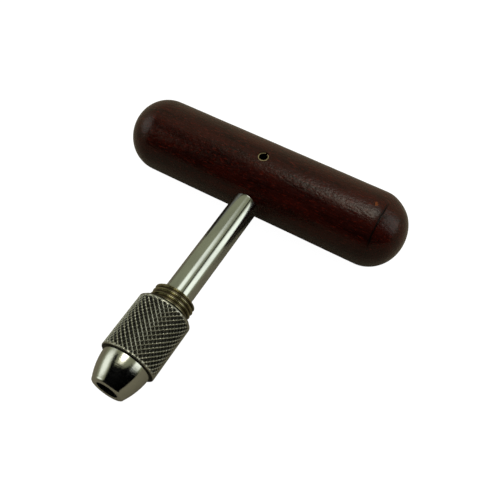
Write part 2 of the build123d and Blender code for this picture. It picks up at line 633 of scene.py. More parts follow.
def turned(
    name: str,
    bands: Sequence[Band],
    segments: int,
    axis: TurningAxis = TurningAxis.TOOL,
    offset: float = 0.0,
    closed: bool = False,
) -> bpy.types.Object:
    """Make a turned piece from bands of rings.

    Args:
        name: The piece's name.
        bands: The bands in order round the section.
        segments: Points in each ring.
        axis: The axis to turn about.
        offset: Place of the handle's axis, in millimetres.
        closed: True to join the last ring to the first; otherwise both ends reach the axis.

    Returns:
        The new object.
    """
    step = FULL_TURN / segments
    angles = np.arange(segments) * step
    along = np.concatenate([band.along for band in bands])
    radius = np.concatenate([band.radius for band in bands])
    owner = np.concatenate([[index] * len(band.along) for index, band in enumerate(bands)])
    radii = np.repeat(radius[:, None], segments, axis=1)
    for row, index in enumerate(owner):
        relief = bands[index].relief
        if relief is not None:
            radii[row] += relief(np.full(segments, along[row]), angles)
    grid_along = np.repeat(along[:, None], segments, axis=1)
    grid_angle = np.repeat(angles[None, :], len(along), axis=0)
    points = [ring_points(axis, offset, grid_along, radii, grid_angle)]
    count = len(points[0])

    faces: list[tuple[int, ...]] = []
    here = np.arange(segments)
    after = np.roll(here, -1)
    rows = len(along)
    for row in range(rows if closed else rows - 1):
        below, above = row * segments, (row + 1) % rows * segments
        quads = np.stack([below + here, below + after, above + after, above + here], axis=1)
        band = bands[owner[row]]
        if not (band.crossed and row + 1 < rows and owner[row] == owner[row + 1]):
            faces.extend(map(tuple, quads.tolist()))
            continue
        middle_along = np.full(segments, (along[row] + along[row + 1]) / 2)
        middle_angle = angles + step / 2
        middle_radius = (radius[row] + radius[row + 1]) / 2 + band.relief(
            middle_along, middle_angle
        )
        points.append(ring_points(axis, offset, middle_along, middle_radius, middle_angle))
        centre = count + here
        count += segments
        for first in range(4):
            second = (first + 1) % 4
            side = np.stack([quads[:, first], quads[:, second], centre], axis=1)
            faces.extend(map(tuple, side.tolist()))
    return mesh_object(name, np.concatenate(points), faces)


def mesh_object(
    name: str, points: np.ndarray, faces: Sequence[tuple[int, ...]]
) -> bpy.types.Object:
    """Make an object from points and faces, with doubles merged and the normals outward.

    Args:
        name: The object's name.
        points: One row for each point, in metres.
        faces: Point numbers of each face.

    Returns:
        The new object, linked to the scene.
    """
    mesh = bpy.data.meshes.new(name)
    mesh.from_pydata(points.tolist(), [], faces)
    work = bmesh.new()
    work.from_mesh(mesh)
    bmesh.ops.remove_doubles(work, verts=work.verts, dist=MERGE_DISTANCE)
    bmesh.ops.recalc_face_normals(work, faces=work.faces)
    work.to_mesh(mesh)
    work.free()
    made = bpy.data.objects.new(name, mesh)
    bpy.context.scene.collection.objects.link(made)
    return made


def smooth(piece: bpy.types.Object, sharp_degrees: float) -> None:
    """Shade a piece smoothly, apart from its sharp edges.

    Args:
        piece: The object.
        sharp_degrees: Edges that turn by more than this stay sharp.
    """
    piece.data.shade_smooth()
    piece.data.set_sharp_from_angle(angle=math.radians(sharp_degrees))


def cut(piece: bpy.types.Object, tool: bpy.types.Object, operation: str) -> None:
    """Apply a boolean to a piece and throw the tool away.

    Args:
        piece: The object that is changed.
        tool: The object that it is cut or intersected with.
        operation: DIFFERENCE or INTERSECT.
    """
    modifier = piece.modifiers.new("cut", "BOOLEAN")
    modifier.operation = operation
    modifier.solver = "EXACT"
    modifier.object = tool
    bpy.context.view_layer.update()
    depsgraph = bpy.context.evaluated_depsgraph_get()
    result = bpy.data.meshes.new_from_object(piece.evaluated_get(depsgraph))
    piece.modifiers.clear()
    old = piece.data
    piece.data = result
    bpy.data.meshes.remove(old)
    bpy.data.objects.remove(tool)


def rod(name: str, start: Vector, end: Vector, radius: float, segments: int) -> bpy.types.Object:
    """Make a plain round cutter.

    Args:
        name: The object's name.
        start: Centre of one end, in millimetres.
        end: Centre of the other end, in millimetres.
        radius: Its radius, in millimetres.
        segments: Points round it.

    Returns:
        The cutter.
    """
    length = (end - start).length
    cutter = turned(
        name,
        [Band(np.array([0.0, 0.0, length, length]), np.array([0.0, radius, radius, 0.0]))],
        segments,
    )
    turn = Vector((0, 1, 0)).rotation_difference(end - start)
    for vertex in cutter.data.vertices:
        vertex.co = turn @ vertex.co + start * MM
    return cutter


def block(name: str, low: Vector, high: Vector) -> bpy.types.Object:
    """Make a square cutter between two corners.

    Args:
        name: The object's name.
        low: Its lowest corner, in millimetres.
        high: Its highest corner, in millimetres.

    Returns:
        The cutter.
    """
    points = np.array(
        [[x, y, z] for x in (low.x, high.x) for y in (low.y, high.y) for z in (low.z, high.z)]
    )
    faces = [(0, 1, 3, 2), (4, 6, 7, 5), (0, 4, 5, 1), (2, 3, 7, 6), (0, 2, 6, 4), (1, 5, 7, 3)]
    return mesh_object(name, points * MM, faces)


def flat_sheet(name: str, half_width: float, half_length: float) -> bpy.types.Object:
    """Make a flat rectangle about the origin.

    Args:
        name: The object's name.
        half_width: Half its size along X, in metres.
        half_length: Half its size along Y, in metres.

    Returns:
        The rectangle.
    """
    signs = ((-1, -1), (1, -1), (1, 1), (-1, 1))
    points = np.array([[half_width * x, half_length * y, 0.0] for x, y in signs])
    return mesh_object(name, points, [(0, 1, 2, 3)])


def arc(
    first: tuple[float, float],
    middle: tuple[float, float],
    last: tuple[float, float],
    steps: int,
) -> np.ndarray:
    """Points on the circle through three points.

    Args:
        first: Where the arc starts, as place along the axis and radius.
        middle: A point that it passes.
        last: Where it ends.
        steps: Number of spans.

    Returns:
        One row for each point, both ends included.
    """
    a, b, c = (np.array(point) for point in (first, middle, last))
    twice = 2 * np.array([b - a, c - a])
    centre = np.linalg.solve(twice, [b @ b - a @ a, c @ c - a @ a])
    begin, through, finish = (math.atan2(*(point - centre)[::-1]) for point in (a, b, c))
    sweep = (finish - begin) % FULL_TURN
    if (through - begin) % FULL_TURN > sweep:
        sweep -= FULL_TURN
    angles = begin + sweep * np.linspace(0, 1, steps + 1)
    reach = np.linalg.norm(a - centre)
    return centre + reach * np.stack([np.cos(angles), np.sin(angles)], axis=1)


def corners(*points: tuple[float, float]) -> Band:
    """A band of plain rings from points given as place along the axis and radius."""
    table = np.array(points)
    return Band(table[:, 0], table[:, 1])


def span(node: str) -> tuple[Vector, Vector]:
    """Lowest and highest corners of a CAD node, in millimetres.

    Args:
        node: The node's name.

    Returns:
        The two corners.
    """
    low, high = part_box(node)
    return low / MM, high / MM


def hand_over(
    piece: bpy.types.Object, material: bpy.types.Material, body: Body, node: str
) -> None:
    """Dress a new piece and let it stand for its CAD node.

    Args:
        piece: The new object.
        material: Its finish.
        body: The moving group that it rides on.
        node: The CAD node that it replaces.
    """
    piece.data.materials.clear()
    piece.data.materials.append(material)
    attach(piece, body.value)
    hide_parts(node)


def dress_node(node: str, material: bpy.types.Material) -> None:
    """Give a CAD node that keeps its shape a better finish.

    Args:
        node: The node's name.
        material: The finish for all its material slots.
    """
    for place in frame["nodes"][node].material_slots:
        place.material = material


# ---- the pieces ------------------------------------------------------------------------------


@dataclass
class CrossHandle:
    """The turned wooden handle, with the slotted pin that holds the shank in it.

    Attributes:
        centre_y: Place of its axis along the tool.
        radius: Its radius on the straight part.
        half_length: From the middle to the tip of a dome.
        pin_y: Place of the cross pin along the tool.
        pin_hole_radius: Radius of the hole that the pin shows through.
        dome_depth: How far each rounded end reaches along the handle.
        dome_fullness: Length of the dome curve's guides, as a share of depth and radius.
        crease_from_end: From the right-hand tip to the crease.
        crease_flat: Length over which the worn flat beyond the crease deepens.
        crease_fade: Length over which that flat runs out towards the tip.
        crease_depth: Depth of the flat.
        crease_facing: Angle about the handle that the worn side faces, in degrees.
        crease_wrap: How fast the wear fades round the handle, 1 for a quarter turn.
        crease_gain: Strength of the wear before it is held at full depth.
        crease_rows: Half the length with close rings at the crease.
        groove_width: Half width of the groove in the crease.
        groove_depth: Its depth below the flat.
        ripples: For each layer its scale along X, its scale round the handle, and its share.
        ripple_height: Height of the ripple that hand sanding leaves.
        ripple_base: How far the rippled wood lies below the plain radius.
        ripple_ends: Length at each tip over which the ripple dies out.
        chip_x: Place of the chip along the handle.
        socket_radius: Radius of the blind socket for the shank.
        socket_depth: Depth of that socket from the handle's front.
        pin_dip: How far below the handle's radius the pin's rubbed ends reach; below that the pin
            has painted shade.
        segments: Points in each ring.
    """

    centre_y: float
    radius: float
    half_length: float
    pin_y: float
    pin_hole_radius: float
    dome_depth: float = 10.1
    dome_fullness: float = 0.565
    crease_from_end: float = 7.35
    crease_flat: float = 2.6
    crease_fade: float = 2.4
    crease_depth: float = 0.30
    crease_facing: float = 118.0
    crease_wrap: float = 0.9
    crease_gain: float = 1.4
    crease_rows: float = 0.6
    groove_width: float = 0.22
    groove_depth: float = 0.11
    ripples: tuple[Triple, Triple] = ((0.10, 1.3, 1.0), (0.45, 4.0, 0.4))
    ripple_height: float = 0.03
    ripple_base: float = 0.045
    ripple_ends: float = 4.0
    chip_x: float = 33.7
    socket_radius: float = 4.05
    socket_depth: float = 16.4
    pin_dip: float = 0.55
    segments: int = 224

    def outline(self) -> np.ndarray:
        """Place along the handle and radius of the right-hand dome, from its start to its tip."""
        start = self.half_length - self.dome_depth
        hold = self.dome_fullness
        guides = np.array(
            [
                (start, self.radius),
                (start + hold * self.dome_depth, self.radius),
                (self.half_length, hold * self.radius),
                (self.half_length, 0.0),
            ]
        )
        t = np.linspace(0, 1, 401)[:, None]
        weights = ((1 - t) ** 3, 3 * t * (1 - t) ** 2, 3 * t**2 * (1 - t), t**3)
        return sum(weight * guide for weight, guide in zip(weights, guides))

    def stations(self) -> np.ndarray:
        """Places of the rings, close together on the domes and at the right-hand crease."""
        dome = self.outline()[::8, 0]
        crease = self.half_length - self.crease_from_end
        near_crease = np.linspace(crease - self.crease_rows, crease + self.crease_rows, 31)
        right = np.unique(np.concatenate([dome, near_crease]).round(4))
        straight = np.linspace(-right[0], right[0], 104)[1:-1]
        return np.concatenate([-right[::-1], straight, right])

    def lacquer_swell(self, along: np.ndarray, angle: np.ndarray) -> np.ndarray:
        """Height of the crease and worn flat at the right end and of the wood's ripple.

        Args:
            along: Places along the handle.
            angle: Angles about it.

        Returns:
            The height to add to the radius.
        """
        facing = np.cos(self.crease_wrap * (angle - math.radians(self.crease_facing)))
        strength = np.clip(self.crease_gain * facing, 0, 1)
        reach = along - (self.half_length - self.crease_from_end)
        share = np.clip(reach / self.crease_flat, 0, 1)
        beyond = np.clip(reach - self.crease_flat, 0, None) / self.crease_fade
        flat = self.crease_depth * (1 - (1 - share) ** 2) * np.exp(-(beyond**2))
        groove = self.groove_depth * np.clip(1 - np.abs(reach) / self.groove_width, 0, 1)
        crease = -strength * (flat + groove)
        ripple = np.array([self.ripple(x, a) for x, a in zip(along, angle)])
        swell = self.ripple_height * ripple - self.ripple_base
        from_tip = self.half_length - np.abs(along)
        return crease + swell * np.clip(from_tip / self.ripple_ends, 0, 1)

    def ripple(self, x: float, angle: float) -> float:
        """Height of the wood's ripple at one point, about -1 to 1.

        Args:
            x: Place along the handle.
            angle: Angle about it.

        Returns:
            The height, to be multiplied by ripple_height.
        """
        across, up = math.cos(angle), math.sin(angle)
        return sum(
            share * noise.noise(Vector((x * lengthways, across * round_it, up * round_it)))
            for lengthways, round_it, share in self.ripples
        )

    def build(self) -> None:
        """Turn the handle, bore its two holes, and dress it and the pin."""
        along = self.stations()
        outline = self.outline()
        radius = np.interp(np.abs(along), outline[:, 0], outline[:, 1])
        shape = Band(along, radius, self.lacquer_swell)
        left_tip, right_tip = corners((-self.half_length, 0.0)), corners((self.half_length, 0.0))
        handle = turned(
            "handle_wood",
            [left_tip, shape, right_tip],
            self.segments,
            TurningAxis.HANDLE,
            self.centre_y,
        )
        reach = self.radius + 2
        below, above = Vector((0, self.pin_y, -reach)), Vector((0, self.pin_y, reach))
        front = Vector((0, self.centre_y - reach, 0))
        bottom = Vector((0, self.centre_y - self.radius + self.socket_depth, 0))
        cut(handle, rod("pin_hole", below, above, self.pin_hole_radius, 72), "DIFFERENCE")
        cut(handle, rod("shank_socket", front, bottom, self.socket_radius, 72), "DIFFERENCE")
        smooth(handle, 40)
        facing = math.radians(self.crease_facing)
        wood = LacqueredWood(
            crease_x=self.half_length - self.crease_from_end,
            crease_line=(math.cos(facing), math.sin(facing)),
            axis_y=self.centre_y,
            chip_place=(self.chip_x, self.centre_y, self.radius),
        )
        hand_over(handle, wood.material(), Body.WRENCH, "handle")
        pin = PlainSteel(
            "pin_steel",
            (0.55, 0.46, 0.29),
            (0.30, 0.25, 0.14),
            0.36,
            # Painted shade on the pin down its hole and hollow.
            shadow=(0.012, 0.010, 0.006),
            rubbed_from_mm=self.radius - self.pin_dip,
        )
        dress_node("cross_pin", pin.material())


@dataclass
class Shank:
    """The plain round bar between the handle and the chuck."""

    front_y: float
    rear_y: float
    radius: float
    chamfer: float = 0.5
    segments: int = 192

    def build(self) -> None:
        """Turn the bar and dress it."""
        rings = np.linspace(self.front_y, self.rear_y - self.chamfer, 60)
        bar = turned(
            "shank_bar",
            [
                corners((self.front_y, 0.0)),
                Band(rings, np.full(len(rings), self.radius)),
                corners((self.rear_y, self.radius - self.chamfer), (self.rear_y, 0.0)),
            ],
            self.segments,
        )
        smooth(bar, 30)
        finish = PolishedBar("polished_steel", (0.60, 0.65, 0.62), (0.50, 0.54, 0.52), 0.10)
        hand_over(bar, finish.material(), Body.WRENCH, "shank")


@dataclass
class ScrewThread:
    """The 12 mm by 1.25 mm right-hand thread that the body and the sleeve share.

    Attributes:
        crest_radius: Radius of its crests.
        crest_y: Place of a crest along the tool, at the top of the tool.
        pitch: From crest to crest.
        depth: From crest to root.
        crest_flat: Width of the flat on a crest.
        root_flat: Width of the flat in a root.
        crest_round: How far the edges of a crest are rounded off.
    """

    crest_radius: float
    crest_y: float
    pitch: float = 1.25
    depth: float = 0.70
    crest_flat: float = 0.17
    root_flat: float = 0.27
    crest_round: float = 0.03

    def profile(self) -> np.ndarray:
        """Share of the pitch and radius of one thread's corners, from crest to crest."""
        crest = self.crest_flat / self.pitch / 2
        root = 0.5 - self.root_flat / self.pitch / 2
        shares = [0.0, crest * 0.6, crest, root, 0.5, 1 - root, 1 - crest, 1 - crest * 0.6]
        near, deep = self.crest_round, self.depth
        drops = [0.0, 0.0, near, deep, deep, deep, near, 0.0]
        return np.array([shares, [self.crest_radius - drop for drop in drops]]).T

    def height(self, along: np.ndarray, angle: np.ndarray) -> np.ndarray:
        """Radius of the thread's surface.

        Args:
            along: Places along the tool's axis.
            angle: Angles about it.

        Returns:
            The radius at each.
        """
        profile = self.profile()
        share = ((along - self.crest_y) / self.pitch + angle / FULL_TURN - 0.25) % 1.0
        return np.interp(share, [*profile[:, 0], 1.0], [*profile[:, 1], self.crest_radius])

    def solid(self, name: str, start: float, end: float, segments: int) -> bpy.types.Object:
        """A solid screw that reaches past both given places, with rings that follow its helix.

        Args:
            name: The object's name.
            start: The lower place along the axis.
            end: The upper place.
            segments: Points in each turn.

        Returns:
            The screw.
        """
        profile = self.profile()
        per_turn = len(profile)
        turns = math.ceil((end - start) / self.pitch) + 3
        lead = self.crest_y + self.pitch / 4
        first = math.floor((start - lead) / self.pitch) - 1
        rows = turns * per_turn + 1
        angle = np.arange(segments + 1) * FULL_TURN / segments
        row = np.arange(rows)
        share = profile[row % per_turn, 0] + row // per_turn + first
        radius = np.repeat(profile[row % per_turn, 1][:, None], segments + 1, axis=1)
        along = lead + self.pitch * (share[:, None] - angle[None, :] / FULL_TURN)
        turned_angle = np.repeat(angle[None, :], rows, axis=0)
        points = ring_points(TurningAxis.TOOL, 0.0, along, radius, turned_angle)
        width = segments + 1
        faces = [
            (r * width + s, r * width + s + 1, (r + 1) * width + s + 1, (r + 1) * width + s)
            for r in range(rows - 1)
            for s in range(segments)
        ]
        low_centre, high_centre = len(points), len(points) + 1
        ends = np.array([[0, along[0].min() * MM, 0], [0, along[-1].max() * MM, 0]])
        low_loop = list(range(width)) + [r * width for r in range(per_turn - 1, 0, -1)]
        top = (rows - 1) * width
        high_loop = list(range(top, top + width)) + [
            (rows - 1 - r) * width + segments for r in range(1, per_turn)
        ]
        for loop, centre in ((low_loop, low_centre), (high_loop, high_centre)):
            faces += [(a, b, centre) for a, b in zip(loop, loop[1:] + loop[:1])]
        return mesh_object(name, np.concatenate([points, ends]), faces)


@dataclass
class ChuckBody:
    """The threaded brass body: a socket for the shank behind, a cross slot for the jaws in front.

    Attributes:
        front_y: Place of its front face along the tool.
        rear_y: Place of its rear face.
        radius: Its radius over the thread's crests.
        chamfer: Depth of the chamfers at both ends.
        rear_chamfer: Length of the rear chamfer along the tool.
        socket_radius: Radius of the socket for the shank.
        socket_bottom_y: Place of the socket's bottom.
        slot_width: Width of the cross slot.
        slot_bottom_y: Place of the slot's bottom.
        end_round: Size of the small rounding at the rear face.
        crest_below: How far the cut thread's crests lie below the blank.
        last_crest: From the rear face to the last crest at the top.
        root_shade_depth: Depth below the radius at which the painted shade in the thread's roots is
            full.
        segments: Points in each ring.
    """

    front_y: float
    rear_y: float
    radius: float
    chamfer: float = 0.6
    rear_chamfer: float = 0.35
    socket_radius: float = 4.04
    socket_bottom_y: float = 20.0
    slot_width: float = 6.4
    slot_bottom_y: float = 18.0
    end_round: float = 0.1
    crest_below: float = 0.01
    last_crest: float = 0.5
    root_shade_depth: float = 0.62
    segments: int = 160

    def build(self) -> None:
        """Turn the blank, cut the thread, bore the socket, mill the slot and dress the body."""
        edge = self.radius - self.chamfer
        body = turned(
            "chuck_body_brass",
            [
                corners(
                    (self.front_y, 0.0),
                    (self.front_y, edge),
                    (self.front_y + self.chamfer, self.radius),
                    (self.rear_y - self.rear_chamfer, self.radius),
                    (self.rear_y - self.end_round, edge),
                    (self.rear_y, edge - self.end_round),
                    (self.rear_y, 0.0),
                )
            ],
            self.segments,
        )
        thread = ScrewThread(self.radius - self.crest_below, self.rear_y - self.last_crest)
        cut(body, thread.solid("thread", self.front_y, self.rear_y, self.segments), "INTERSECT")
        socket = rod(
            "socket",
            Vector((0, self.socket_bottom_y, 0)),
            Vector((0, self.rear_y + 1, 0)),
            self.socket_radius,
            96,
        )
        cut(body, socket, "DIFFERENCE")
        reach = self.radius + 1
        slot = block(
            "slot",
            Vector((-self.slot_width / 2, self.front_y - 1, -reach)),
            Vector((self.slot_width / 2, self.slot_bottom_y, reach)),
        )
        cut(body, slot, "DIFFERENCE")
        smooth(body, 28)
        finish = GrooveShaded(
            "thread_brass",
            high=(0.50, 0.48, 0.30),
            # low: painted shade in the thread's roots.
            low=(0.105, 0.090, 0.056),
            high_radius_mm=self.radius - 0.02,
            low_radius_mm=self.radius - self.root_shade_depth,
            high_roughness=0.20,
            low_roughness=0.38,
            grain=(1.2, 9.0, 1.2),
        )
        hand_over(body, finish.material(), Body.WRENCH, "chuck_body")


@dataclass
class KnurledSleeve:
    """The sleeve: diamond pits pressed into its outside, a screw thread inside.

    Attributes:
        front_y: Place of its front edge along the tool.
        rear_y: Place of its rear edge.
        radius: Its radius over the knurl.
        front_chamfer: Size of the front chamfer.
        rear_chamfer: Size of the rear chamfer.
        edge_rounding: Small flats that break the chamfers' edges, the knurl's front and its rear.
        pits_round: Number of pits round the sleeve.
        pit_pitch: From pit to pit along the tool.
        pit_depth: Depth of a pit.
        land_share: Half width of a raised line, as a share of the pitch.
        wall_share: Width of a pit's wall, as a share of the pitch.
        facets: Rows of mesh for each pitch, both ways.
        plain_front: Plain band ahead of the knurl.
        plain_rear: Plain band behind it.
        knurl_run_out: Length over which the pits deepen from those bands.
        thread_crest_radius: Radius of the screw that the inner thread fits.
        thread_crest_y: Place of one of its crests at the top.
        thread_clearance: Gap all round between that screw and the inner thread.
        thread_from_end: From each end of the bore to the inner thread.
        thread_run_out: Length over which the inner thread rises.
        rows_per_pitch: Rings of mesh for each pitch of the inner thread.
        bore_radius: Radius of the bore.
        bore_chamfer: Size of the chamfer at the bore's rear.
        counterbore_y: Place of the counterbore's bottom.
        counterbore_radius: Radius of the counterbore that the nose's skirt turns in.
        ring_y: Place of the retaining ring.
        ring_groove: Radius and half width of its groove.
    """

    front_y: float
    rear_y: float
    radius: float
    front_chamfer: float = 0.25
    rear_chamfer: float = 0.75
    edge_rounding: Triple = (0.06, 0.05, 0.08)
    pits_round: int = 32
    pit_pitch: float = 1.437
    pit_depth: float = 0.38
    land_share: float = 0.085
    wall_share: float = 0.17
    facets: int = 8
    plain_front: float = 0.35
    plain_rear: float = 0.95
    knurl_run_out: float = 0.5
    thread_crest_radius: float = 5.89
    thread_crest_y: float = 29.1
    thread_clearance: float = 0.10
    thread_from_end: float = 0.6
    thread_run_out: float = 0.8
    rows_per_pitch: int = 10
    bore_radius: float = 6.0
    bore_chamfer: float = 0.35
    counterbore_y: float = 10.45
    counterbore_radius: float = 6.35
    ring_y: float = 9.2
    ring_groove: tuple[float, float] = (6.8, 0.45)

    def knurl(self, along: np.ndarray, angle: np.ndarray) -> np.ndarray:
        """Height of the knurling: two crossing sets of raised lines with pits between them.

        Args:
            along: Places along the tool's axis.
            angle: Angles about it.

        Returns:
            The height below the plain radius, as a negative number.
        """
        turn = self.pits_round * angle / FULL_TURN
        run = along / self.pit_pitch
        gaps = [np.abs(line - np.round(line)) for line in (turn + run, turn - run)]
        pit = np.clip((np.minimum(*gaps) - self.land_share) / self.wall_share, 0, 1)
        front = (along - self.front_y - self.plain_front) / self.knurl_run_out
        rear = (self.rear_y - self.plain_rear - along) / self.knurl_run_out
        return -self.pit_depth * pit * np.clip(np.minimum(front, rear), 0, 1)

    def build(self) -> None:
        """Turn, thread and knurl the sleeve in one closed section, and dress it."""
        nick, ease, rear_ease = self.edge_rounding
        row = self.pit_pitch / self.facets
        low = self.front_y + self.front_chamfer
        high = self.rear_y - self.rear_chamfer
        outside = np.arange(math.ceil(low / row) + 1, math.floor(high / row)) * row
        thread = ScrewThread(self.thread_crest_radius, self.thread_crest_y)
        thread_rear = self.rear_y - self.thread_from_end
        thread_rows = np.arange(
            thread_rear,
            self.counterbore_y + self.thread_from_end,
            -thread.pitch / self.rows_per_pitch,
        )
        groove_radius, half_groove = self.ring_groove

        def inner_thread(along: np.ndarray, angle: np.ndarray) -> np.ndarray:
            """Height of the inner thread beside the bore, as a negative number."""
            surface = thread.height(along, angle) + self.thread_clearance
            from_front = along - self.counterbore_y - self.thread_from_end
            ends = np.minimum(thread_rear - along, from_front) / self.thread_run_out
            return (surface - self.bore_radius) * np.clip(ends, 0, 1)

        sleeve = turned(
            "knurled_sleeve_nickel",
            [
                corners(
                    (self.front_y, self.counterbore_radius),
                    (self.front_y, self.radius - self.front_chamfer - nick),
                    (self.front_y + nick, self.radius - self.front_chamfer),
                    (low - ease, self.radius - ease),
                    (low + ease, self.radius),
                ),
                Band(outside, np.full(len(outside), self.radius), self.knurl, crossed=True),
                corners(
                    (high - rear_ease, self.radius),
                    (high + nick, self.radius - nick),
                    (self.rear_y - rear_ease, self.radius - self.rear_chamfer + nick),
                    (self.rear_y, self.radius - self.rear_chamfer - rear_ease),
                    (self.rear_y, self.bore_radius + self.bore_chamfer),
                    (self.rear_y - self.bore_chamfer, self.bore_radius),
                ),
                Band(thread_rows, np.full(len(thread_rows), self.bore_radius), inner_thread),
                corners(
                    (self.counterbore_y, self.bore_radius),
                    (self.counterbore_y, self.counterbore_radius),
                    (self.ring_y + half_groove, self.counterbore_radius),
                    (self.ring_y + half_groove, groove_radius),
                    (self.ring_y - half_groove, groove_radius),
                    (self.ring_y - half_groove, self.counterbore_radius),
                ),
            ],
            self.pits_round * self.facets,
            closed=True,
        )
        smooth(sleeve, 50)
        finish = GrooveShaded(
            "satin_nickel",
            high=(0.53, 0.545, 0.485),
            # low: painted shade, near black, in the knurl's pits.
            low=(0.030, 0.029, 0.023),
            high_radius_mm=self.radius - self.pit_depth * 0.2,
            low_radius_mm=self.radius - self.pit_depth * 0.8,
            high_roughness=0.25,
            low_roughness=0.5,
            grain=(3.2, 3.2, 3.2),
            grain_depth_mm=0.06,
        )
        hand_over(sleeve, finish.material(), Body.SLEEVE, "knurled_sleeve")


@dataclass
class NoseCone:
    """The polished nose that closes the jaws with its inner cone.

    Attributes:
        base_y: Place of its joint line with the sleeve along the tool.
        rear_y: Place of the rear end of its skirt.
        base_radius: Its radius at the joint line.
        waist: A point half way up its curved side, as place along the tool and radius.
        corner: Where the side meets the rounded front corner.
        corner_middle: A point on that rounding.
        face_radius: Radius of the flat front face.
        mouth_radius: Radius of the mouth.
        mouth_chamfer: Size of the mouth's chamfer.
        mouth_edge: Depth and width of the rounding outside of that chamfer.
        mouth_length: From the front face to the start of the inner cone.
        cone_degrees: The inner cone's slope.
        skirt_radius: Outer radius of the skirt inside the sleeve.
        skirt_bore: Its inner radius.
        ring_y: Place of the retaining ring.
        ring_groove: Radius and half width of its groove.
        base_round: Size of the rounding at the joint line.
        segments: Points in each ring.
    """

    base_y: float
    rear_y: float
    base_radius: float
    waist: tuple[float, float] = (4.2, 6.12)
    corner: tuple[float, float] = (0.55, 4.73)
    corner_middle: tuple[float, float] = (0.16, 4.53)
    face_radius: float = 4.2
    mouth_radius: float = 3.0
    mouth_chamfer: float = 0.1
    mouth_edge: tuple[float, float] = (0.03, 0.04)
    mouth_length: float = 1.25
    cone_degrees: float = 18.0
    skirt_radius: float = 6.3
    skirt_bore: float = 5.3
    ring_y: float = 9.2
    ring_groove: tuple[float, float] = (5.9, 0.45)
    base_round: float = 0.1
    segments: int = 224

    def build(self) -> None:
        """Turn the nose in one closed section and dress it."""
        ease = self.base_round
        edge_depth, edge_width = self.mouth_edge
        mouth_edge = self.mouth_radius + self.mouth_chamfer
        side = arc((self.base_y - ease, self.base_radius), self.waist, self.corner, 40)
        nose_corner = arc(self.corner, self.corner_middle, (0.0, self.face_radius), 14)
        slope = math.tan(math.radians(self.cone_degrees))
        cone_rear = self.mouth_length + (self.skirt_bore - self.mouth_radius) / slope
        groove_radius, half_groove = self.ring_groove
        nose = turned(
            "nose_cone_nickel",
            [
                corners((self.base_y, self.skirt_radius), (self.base_y, self.base_radius - ease)),
                Band(side[:, 0], side[:, 1]),
                Band(nose_corner[1:, 0], nose_corner[1:, 1]),
                corners(
                    (0.0, mouth_edge + edge_width),
                    (edge_depth, mouth_edge),
                    (self.mouth_chamfer, self.mouth_radius),
                    (self.mouth_length, self.mouth_radius),
                    (cone_rear, self.skirt_bore),
                    (self.rear_y, self.skirt_bore),
                    (self.rear_y, self.skirt_radius),
                    (self.ring_y + half_groove, self.skirt_radius),
                    (self.ring_y + half_groove, groove_radius),
                    (self.ring_y - half_groove, groove_radius),
                    (self.ring_y - half_groove, self.skirt_radius),
                ),
            ],
            self.segments,
            closed=True,
        )
        smooth(nose, 24)
        finish = PolishedBar(
            "mirror_nickel", (0.58, 0.61, 0.57), (0.51, 0.54, 0.50), 0.08, ring_depth_mm=0.012
        )
        hand_over(nose, finish.material(), Body.NOSE, "nose_cone")


@dataclass
class JawSpring:
    """One coil spring between the jaws, wound at its free height.

    Attributes:
        node: The CAD node that the spring replaces.
        middle: Its middle, in millimetres.
        half_height: Half its free height over the wire, in millimetres.
        outer_radius: Its radius over the wire, in millimetres.
        jaw_travel: How far each jaw pushes its end in, in millimetres; not used.
        wire_radius: The wire's radius, in millimetres.
        turns: Turns of the coil.
        steps_per_turn: Sections of wire for each turn.
        sides: Points round the wire.
        clearance: Gap left to each jaw where they are closest, in millimetres; not used.
    """

    node: str
    middle: Vector
    half_height: float
    outer_radius: float
    jaw_travel: float
    wire_radius: float = 0.13
    turns: int = 6
    steps_per_turn: int = 28
    sides: int = 10
    clearance: float = 0.02

    def coil(self) -> bpy.types.Object:
        """Sweep the wire's section up the helix and close both ends."""
        steps = self.turns * self.steps_per_turn + 1
        radius = self.outer_radius - self.wire_radius
        reach = self.half_height - self.wire_radius
        turn = np.linspace(0, FULL_TURN * self.turns, steps)[:, None]
        around = (np.arange(self.sides) * FULL_TURN / self.sides)[None, :]
        out = radius + self.wire_radius * np.cos(around)
        height = np.linspace(-reach, reach, steps)[:, None] + self.wire_radius * np.sin(around)
        offsets = np.stack([out * np.cos(turn), out * np.sin(turn), height], axis=-1)
        points = (offsets.reshape(-1, 3) + np.array(self.middle)) * MM
        faces: list[tuple[int, ...]] = [
            (
                step * self.sides + side,
                step * self.sides + (side + 1) % self.sides,
                (step + 1) * self.sides + (side + 1) % self.sides,
                (step + 1) * self.sides + side,
            )
            for step in range(steps - 1)
            for side in range(self.sides)
        ]
        faces.append(tuple(range(self.sides)))
        faces.append(tuple(range((steps - 1) * self.sides, steps * self.sides)))
        return mesh_object(f"{self.node}_wire", points, faces)

    def build(self, material: bpy.types.Material) -> None:
        """Wind the spring and dress it.

        Args:
            material: The wire's finish.
        """
        coil = self.coil()
        smooth(coil, 60)
        hand_over(coil, material, Body.WRENCH, self.node)
        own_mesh(coil)


@dataclass
class GrippingParts:
    """The jaws and the retaining ring, which keep their CAD shapes, and the jaw springs."""

    jaw_travel: float
    jaws: tuple[str, ...] = ("jaw_upper", "jaw_lower")
    springs: tuple[str, ...] = ("jaw_spring_left", "jaw_spring_right")
    ring: str = "retaining_ring"

    def build(self) -> None:
        """Dress the jaws as ground steel and the ring as drawn wire, and wind the springs."""
        jaw = PlainSteel("jaw_steel", (0.070, 0.066, 0.060), (0.030, 0.028, 0.026), 0.42).material()
        wire = PlainSteel("spring_wire", (0.42, 0.41, 0.38), (0.20, 0.19, 0.18), 0.32).material()
        for node in self.jaws:
            dress_node(node, jaw)
        dress_node(self.ring, wire)
        for node in self.springs:
            low, high = span(node)
            spring = JawSpring(
                node=node,
                middle=(low + high) / 2,
                half_height=(high.z - low.z) / 2,
                outer_radius=(high.y - low.y) / 2,
                jaw_travel=self.jaw_travel,
            )
            spring.build(wire)


# ---- the studio ------------------------------------------------------------------------------


